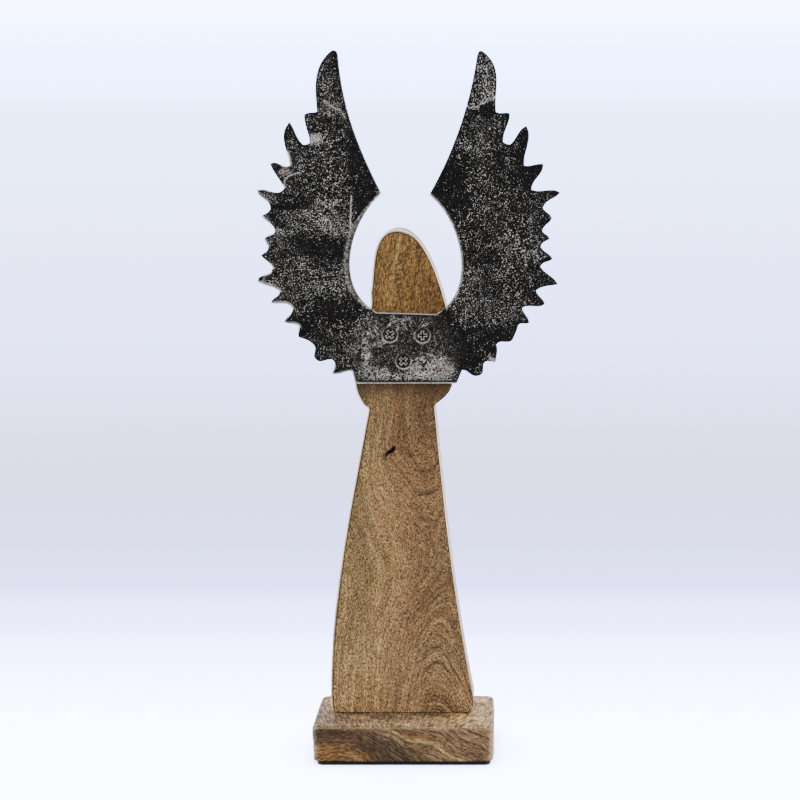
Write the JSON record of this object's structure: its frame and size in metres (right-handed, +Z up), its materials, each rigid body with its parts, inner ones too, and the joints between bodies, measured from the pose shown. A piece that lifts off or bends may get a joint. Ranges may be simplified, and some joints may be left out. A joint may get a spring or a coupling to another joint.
{
  "type": "angel statue",
  "caption": "Standing angel: a flat carved wooden figure on a rounded block plinth, with a cast metal pair of feathered wings screwed to its back; a shelf ornament.",
  "frame": {"origin": "on the ground under the felt sheet, midway across the wings' span and midway through the plinth's depth", "axes": "+Z up; +Y the way the angel faces, so the wings' side faces -Y; +X to the right as seen from the wings' side"},
  "size_m": [0.1636, 0.06, 0.388],
  "materials": {
    "plinth_wood": "light brown mango wood, thin satin lacquer, swirled grain",
    "figure_wood": "brown mango wood, thin satin lacquer, short dark pores and a sweeping figure",
    "blackened_casting": "rough cast aluminium with a black antique patina, worn to grey metal on the high spots and edges",
    "black_screw": "black countersunk screw, satin",
    "black_felt": "thin black felt"
  },
  "bodies": {
    "root": {"base": "plinth_wood", "base_pad": "black_felt", "figure": "figure_wood", "wings": "blackened_casting", "screw_left": "black_screw", "screw_right": "black_screw", "screw_lower": "black_screw"}
  },
  "joints": []
}
